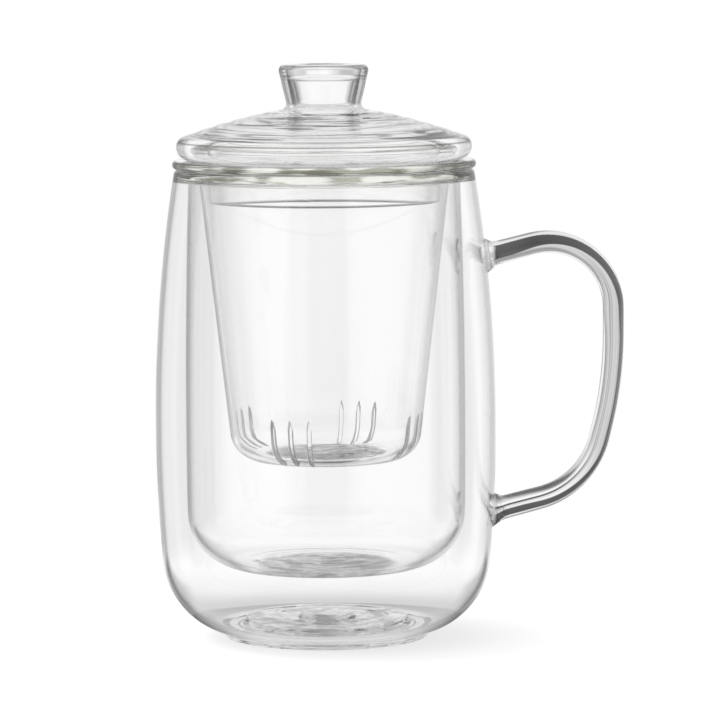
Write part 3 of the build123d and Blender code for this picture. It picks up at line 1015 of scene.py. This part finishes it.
def handle_line(size, mug):
    """The rod's centre line as even steps, and the way that the wall faces at its two ends."""
    top = OUTER_HIGH.z
    bow = bow_radius(top - mug.belly_height, mug.draw_in)
    upper = top - size.upper_drop
    lower = upper - size.span
    wall_slopes = [asin((z - mug.belly_height) / bow) for z in (upper, lower)]
    upper_x, lower_x = [OUTER_HIGH.x - bow + bow * cos(t) for t in wall_slopes]
    rise = tan(size.arm_slope)
    lean = tan(size.side_lean)
    side = HANDLE_HIGH.x - size.rod
    lean_z = upper - size.lean_drop
    reach = (side - (lean_z - lower + lower_x * rise) * lean) / (1 - rise * lean)
    corners = [
        (upper_x, upper),
        (side, upper + (side - upper_x) * rise, size.top_bend),
        (side, lean_z, size.side_bend),
        (reach, lower + (reach - lower_x) * rise, size.bottom_bend),
        (lower_x, lower),
    ]
    return rounded(corners, 24), wall_slopes


def handle_stations(settings, step=0.0012):
    """Places along the rod, the way it faces there and its radius."""
    size = settings.handle
    line, wall_slopes = handle_line(size, settings.mug)
    runs = [(b - a).length for a, b in zip(line, line[1:])]
    total = sum(runs)
    steps = round((total + 2 * size.sink) / step)
    stations = []
    for i in range(steps + 1):
        along = -size.sink + (total + 2 * size.sink) * i / steps
        left = along
        piece = 0
        while piece < len(runs) - 1 and left > runs[piece]:
            left -= runs[piece]
            piece += 1
        way = (line[piece + 1] - line[piece]).normalized()
        here = line[piece] + way * left
        facing = atan2(way.y, way.x)
        near = min(along, total - along)
        if along < total / 2:
            wall_way = wall_slopes[0]
        else:
            wall_way = wall_slopes[1] + pi if facing > 0 else wall_slopes[1] - pi
        ease = max(0, 1 - max(0, near) / (WELD_TURN * size.weld_length))
        facing += (wall_way - facing) * ease**2
        upright = 0.5 - 0.5 * cos(pi * min(1, max(0, near) / (total * ROD_TAPER)))
        radius = size.arm + (size.rod - size.arm) * upright
        spread = max(0, 1 - max(0, near) / size.weld_length)
        radius += (size.weld - size.arm) * spread**WELD_POWER
        stations.append((Vector((here.x, 0, here.y)), facing, radius))
    return stations


# Operators for the infuser and the lid


class MakeInfuser(bpy.types.Operator):
    """Blow the basket, turn out its flange and saw its slits"""

    bl_idname = "tea_mug.infuser"
    bl_label = "Infuser"

    def execute(self, context):
        settings = context.scene.tea_mug
        size, mug = settings.infuser, settings.mug
        low = BASKET_LOW.z
        top = BASKET_HIGH.z
        flange_low = top - size.flange
        neck = INNER_HIGH.x - mug.inner_draw_in - mug.inner_wall - size.neck_gap
        taper = (neck - size.foot_radius) / (INNER_HIGH.z - low)
        across = size.wall * sqrt(1 + taper**2)
        floor = low + size.floor
        outside = size.foot_radius + taper * (flange_low - low)
        inside_low = size.foot_radius + taper * size.floor - across
        inside_top = size.foot_radius + taper * (top - low) - across
        outline = [(0, low), (size.foot_radius, low, size.corner), (outside, flange_low, size.flange_root)]
        outline += [(BASKET_HIGH.x, flange_low, size.flange_edge), (BASKET_HIGH.x, top, size.flange_edge)]
        outline += [(inside_top, top, size.flange_root), (inside_low, floor, size.inner_corner)]
        flat = inside_low - size.inner_corner
        outline += floor_run(flat, 0, floor, mug, size.pool, (flat / 2, flat))
        piece = spin_outline("infuser_glass", rounded(outline, 24))
        pool_top = floor + size.pool + mug.waves
        make_waves(piece, flat, low, pool_top, mug.waves, size.wave)
        pool = pool_shade(flat, pool_top, BASKET_POOL_SHADE)
        shade = layered(olive_shade(flange_low, top), pool, edge_shade_lines(CUP_SHADE_LINES))
        glass = make_glass("infuser_clear", settings.glass.wall_bump, settings.glass.edge, shade)
        piece.data.materials.append(glass)
        blades = saw_blades(size, low, taper)
        blades.data.materials.append(make_frosted("slit_frosted"))
        saw = piece.modifiers.new("Slits", "BOOLEAN")
        saw.operation = "DIFFERENCE"
        saw.solver = "EXACT"
        saw.material_mode = "TRANSFER"
        saw.object = blades
        select_only(piece)
        bpy.ops.object.modifier_apply(modifier=saw.name)
        bpy.data.objects.remove(blades)
        bpy.ops.object.shade_smooth_by_angle(angle=SMOOTH_ANGLE)
        finish_piece(piece, "infuser", "infuser", None)
        return {"FINISHED"}


def saw_blades(size, low, taper):
    """Round blades with a bevelled edge, set round the basket where its slits are."""
    tip = Vector((size.foot_radius + taper * size.slit_rise, low + size.slit_rise))
    root = Vector((size.foot_radius - size.slit_reach, low))
    chord = tip - root
    offset = sqrt(size.blade_radius**2 - (chord.length / 2) ** 2)
    middle = root + chord / 2 + Vector((chord.y, -chord.x)).normalized() * offset
    edge = size.blade_radius
    shoulder = size.blade_radius - size.blade_bevel
    half = size.slit_width / 2
    profile = [(0, half), (shoulder, half), (edge, half * size.blade_tip)]
    profile += [(edge, -half * size.blade_tip), (shoulder, -half), (0, -half)]
    blade = spin_outline("saw_blade", profile, 96)
    bpy.ops.object.mode_set(mode="EDIT")
    bpy.ops.mesh.select_all(action="SELECT")
    bpy.ops.transform.rotate(value=pi / 2, orient_axis="X", orient_type="GLOBAL", center_override=(0, 0, 0))
    bpy.ops.transform.translate(value=(middle.x, 0, middle.y))
    bpy.ops.object.mode_set(mode="OBJECT")
    blades = []
    for group in range(size.slit_groups):
        for slit in range(size.group_slits):
            turn = size.group_turn + group * FULL_TURN / size.slit_groups
            turn += (slit - (size.group_slits - 1) / 2) * size.slit_pitch
            select_only(blade)
            bpy.ops.object.duplicate()
            copy = bpy.context.active_object
            copy.rotation_euler.z = turn
            bpy.ops.object.transform_apply(location=True, rotation=True, scale=True)
            blades.append(copy)
    bpy.data.objects.remove(blade)
    select_only(*blades)
    bpy.ops.object.join()
    return bpy.context.active_object


class MakeLidDome(bpy.types.Operator):
    """Blow the dome with its thick edge"""

    bl_idname = "tea_mug.lid_dome"
    bl_label = "Lid dome"

    def execute(self, context):
        size = context.scene.tea_mug.lid
        look = context.scene.tea_mug.glass
        seat = DOME_LOW.z
        pad = DOME_HIGH.z
        reach = DOME_HIGH.x
        hollow = reach - size.edge_width
        over = dome_crown(size, 0)
        under = dome_crown(size, size.wall)
        inner_end = [p for p in under if p[0] < hollow]
        outline = [(size.knob_bore, pad)]
        outline += ripples(over[:-1], size.ripple, size.ripple_pitch)
        outline += [(*over[-1], size.edge_round), (reach, seat, size.seat_round), (hollow, seat)]
        outline += [(hollow, inner_end[-1][1], size.root_round)]
        outline += inner_end[::-1]
        outline += [(size.knob_bore, pad - size.wall), (size.knob_bore, pad)]
        piece = spin_outline("lid_dome_glass", rounded(outline))
        make_waves(piece, hollow, seat, pad, size.waves, size.wave)
        glass = make_glass("lid_dome_clear", look.wall_bump, look.thick_edge_shade, lid_shade, ringed=True)
        finish_piece(piece, "lid", "lid_dome", glass)
        return {"FINISHED"}


def dome_crown(size, lowered):
    """The crown of the lid from its pad to its edge, lowered by a height."""
    start = (size.knob_neck + size.knob_foot, DOME_HIGH.z - lowered)
    return crown(start, size.bulge, (DOME_HIGH.x, DOME_LOW.z + size.edge_height - lowered))


class MakeLidCollar(bpy.types.Operator):
    """Hang the collar under the dome"""

    bl_idname = "tea_mug.lid_collar"
    bl_label = "Lid collar"

    def execute(self, context):
        settings = context.scene.tea_mug
        size = settings.lid
        look = settings.glass
        outer = COLLAR_HIGH.x
        inner = outer - size.collar_wall
        low = COLLAR_LOW.z
        under = dome_crown(size, size.wall - settings.mug.fuse)
        inner_top = min(under, key=lambda p: abs(p[0] - inner))[1]
        outer_top = min(under, key=lambda p: abs(p[0] - outer))[1]
        outline = [(inner, inner_top), (inner, low, size.collar_round), (outer, low, size.collar_round)]
        outline += [(outer, outer_top), (inner, inner_top)]
        piece = spin_outline("lid_collar_glass", rounded(outline))
        glass = make_glass("lid_collar_clear", look.wall_bump, look.edge, collar_shade)
        finish_piece(piece, "lid", "lid_collar", glass)
        return {"FINISHED"}


class MakeLidKnob(bpy.types.Operator):
    """Fuse the hollow knob to the dome"""

    bl_idname = "tea_mug.lid_knob"
    bl_label = "Lid knob"

    def execute(self, context):
        settings = context.scene.tea_mug
        size = settings.lid
        look = settings.glass
        fuse = settings.mug.fuse
        steps = 12
        top = KNOB_HIGH.z
        pad = DOME_HIGH.z
        spread = size.knob_neck + size.knob_foot
        foot = arc((spread, pad + size.knob_foot), size.knob_foot, pi, 1.5 * pi, steps)
        shares = [i / steps for i in range(steps + 1)]
        dish = [(size.dish_radius * s, top - size.dish_depth * (1 - s**2)) for s in shares]
        outline = dish + [(size.knob_top_radius, top, size.knob_edge)]
        outline += foot + [(spread, pad - fuse), (size.knob_bore + 2 * fuse, pad - fuse)]
        outline += [(size.knob_bore, pad + 2 * fuse), (size.knob_bore, pad + size.knob_foot)]
        outline += [(size.knob_top_radius - size.knob_wall, top - size.knob_top, size.bore_round)]
        outline += [(0, top - size.knob_top)]
        piece = spin_outline("lid_knob_glass", rounded(outline))
        glass = make_glass("lid_knob_clear", look.knob_bump, look.thick_edge_shade, knob_shade, ringed=True)
        finish_piece(piece, "lid", "lid_knob", glass)
        return {"FINISHED"}


# Stage


class MakeStage(bpy.types.Operator):
    """Set the camera, the white floor, the sun lamp and the room that the glass mirrors"""

    bl_idname = "tea_mug.stage"
    bl_label = "Stage"

    def execute(self, context):
        stage = context.scene.tea_mug.stage
        scene = context.scene
        scene.view_settings.view_transform = "Standard"
        scene.cycles.max_bounces = 40
        scene.cycles.transmission_bounces = 40
        scene.cycles.glossy_bounces = 16
        scene.cycles.transparent_max_bounces = 40
        scene.cycles.caustics_reflective = False
        scene.cycles.caustics_refractive = False
        set_camera(stage)
        set_floor(stage)
        set_sun(stage)
        set_room(stage)
        return {"FINISHED"}


def set_camera(stage):
    """Stands the camera where the photograph was taken."""
    bpy.ops.object.camera_add(location=(stage.camera_side, -stage.camera_distance, stage.camera_height))
    camera = bpy.context.active_object
    aim = Vector((0, stage.camera_distance, stage.aim_height - stage.camera_height))
    camera.rotation_mode = "QUATERNION"
    camera.rotation_quaternion = aim.to_track_quat("-Z", "Y") @ Quaternion((0, 0, 1), -stage.roll)
    camera.data.lens = stage.lens
    camera.data.sensor_width = 36
    camera.data.clip_start = 0.05
    camera.data.clip_end = 100
    bpy.context.scene.camera = camera


def set_floor(stage):
    """Lays a white floor that takes the mug's shadow, and that the glass sees with a painted shadow and
    darker strips.
    """
    bpy.ops.object.select_all(action="DESELECT")
    bpy.ops.mesh.primitive_circle_add(
        vertices=128, radius=stage.floor_radius, fill_type="NGON", location=(0, 0, -FLOOR_DROP)
    )
    floor = bpy.context.active_object
    floor.name = "floor"
    material = bpy.data.materials.new("white_floor")
    graph = Graph(material)
    place = graph.add("TexCoord").outputs["Object"]
    reach = graph.math("DIVIDE", graph.reach(place), stage.floor_radius)
    glow = graph.add("Emission", {"Color": WHITE, "Strength": stage.floor_glow})
    matt = graph.add("BsdfDiffuse", {"Color": (0.8, 0.8, 0.8)})
    plain = graph.add("AddShader", {0: glow.outputs["Emission"], 1: matt.outputs["BSDF"]})
    # Painted shadow round the mug in the floor that only the glass sees
    level = graph.ramp(reach, FLOOR_LEVELS)
    level = graph.blend(floor_strips(graph, place), level, stage.beside)
    mirrored = graph.add("Emission", {"Color": level, "Strength": 1.0})
    clear = graph.add("BsdfTransparent")
    fade = graph.ease(reach, *FLOOR_FADE)
    faded = graph.add("MixShader", {0: fade, 1: mirrored.outputs["Emission"], 2: clear.outputs["BSDF"]})
    path = graph.add("LightPath").outputs
    by_glass = graph.math("MAXIMUM", path["Is Glossy Ray"], path["Is Transmission Ray"])
    mix = graph.add("MixShader", {0: by_glass, 1: plain.outputs["Shader"], 2: faded.outputs["Shader"]})
    graph.add("OutputMaterial", {"Surface": mix.outputs["Shader"]})
    floor.data.materials.append(material)


def floor_strips(graph, place):
    """Two strips of the floor that start beside the mug and spread towards the back."""
    parts = graph.parts(place)
    backwards = graph.math("MULTIPLY", parts["Y"], STRIP_SPREAD)
    outwards = graph.math("SUBTRACT", graph.math("ABSOLUTE", parts["X"]), backwards)
    across = graph.between(outwards, STRIP_ACROSS)
    return graph.math("MULTIPLY", across, graph.between(parts["Y"], STRIP_ALONG))


def set_sun(stage):
    """Hangs a soft sun lamp to the upper left."""
    bpy.ops.object.light_add(type="SUN", location=(-1, -0.4, 1))
    sun = bpy.context.active_object
    sun.rotation_mode = "QUATERNION"
    sun.rotation_quaternion = Vector(SUN_WAY).to_track_quat("-Z", "Y")
    sun.data.energy = stage.sun_strength
    sun.data.angle = stage.sun_size
    sun.visible_glossy = False
    sun.visible_transmission = False


def set_room(stage):
    """White walls with dark gaps, a cornice and a ceiling, which only the glass sees."""
    world = bpy.data.worlds.new("white_room")
    bpy.context.scene.world = world
    graph = Graph(world)
    parts = graph.parts(graph.add("TexCoord").outputs["Generated"])
    leftwards = graph.math("ARCTAN2", graph.math("MULTIPLY", parts["X"], -1.0), parts["Y"])
    stops = [(0.5 + degrees / 360, level) for degrees, level in ROOM_LEVELS]
    room = graph.ramp(graph.math("ADD", graph.math("DIVIDE", leftwards, FULL_TURN), 0.5), stops)
    from_left = graph.ease(leftwards, *FRONT_LEFT)
    from_right = graph.ease(leftwards, *FRONT_RIGHT)
    room = graph.blend(graph.math("MAXIMUM", from_left, from_right), room, stage.front)
    heights = (TABLE_HEIGHTS, CORNICE_HEIGHTS, CEILING_HEIGHTS)
    for band, tone in zip(heights, (stage.table, stage.cornice, stage.zenith)):
        room = graph.blend(graph.ease(parts["Z"], *band), room, tone)
    path = graph.add("LightPath").outputs
    seen = graph.add("Background", {"Color": WHITE})
    strength = graph.math("SUBTRACT", 1.0, path["Is Diffuse Ray"])
    mirrored = graph.add("Background", {"Color": room, "Strength": strength})
    mix = graph.add("MixShader", {0: path["Is Camera Ray"]})
    graph.feed(mix.inputs[1], mirrored.outputs["Background"])
    graph.feed(mix.inputs[2], seen.outputs["Background"])
    graph.add("OutputWorld", {"Surface": mix.outputs["Shader"]})


class TeaMugPanel(bpy.types.Panel):
    """Lists the steps that make the mug."""

    bl_idname = "VIEW3D_PT_tea_mug"
    bl_label = "Glass tea mug"
    bl_space_type = "VIEW_3D"
    bl_region_type = "UI"
    bl_category = "Tea Mug"

    def draw(self, context):
        for step in STEPS:
            self.layout.operator(step.bl_idname)


GROUPS = (MugSizes, HandleSizes, InfuserSizes, LidSizes, GlassLook, StageLook, TeaMugSettings)
STEPS = (
    MakeOuterWall,
    MakeInnerWall,
    MakeVentSeal,
    MakeHandle,
    MakeInfuser,
    MakeLidDome,
    MakeLidCollar,
    MakeLidKnob,
    MakeStage,
)


def register():
    for each in (*GROUPS, *STEPS, TeaMugPanel):
        bpy.utils.register_class(each)
    bpy.types.Scene.tea_mug = PointerProperty(type=TeaMugSettings)


def unregister():
    del bpy.types.Scene.tea_mug
    for each in reversed((*GROUPS, *STEPS, TeaMugPanel)):
        bpy.utils.unregister_class(each)


def main():
    register()
    bpy.ops.tea_mug.outer_wall()
    bpy.ops.tea_mug.inner_wall()
    bpy.ops.tea_mug.vent_seal()
    bpy.ops.tea_mug.handle()
    bpy.ops.tea_mug.infuser()
    bpy.ops.tea_mug.lid_dome()
    bpy.ops.tea_mug.lid_collar()
    bpy.ops.tea_mug.lid_knob()
    bpy.ops.tea_mug.stage()


if __name__ == "__main__":
    main()
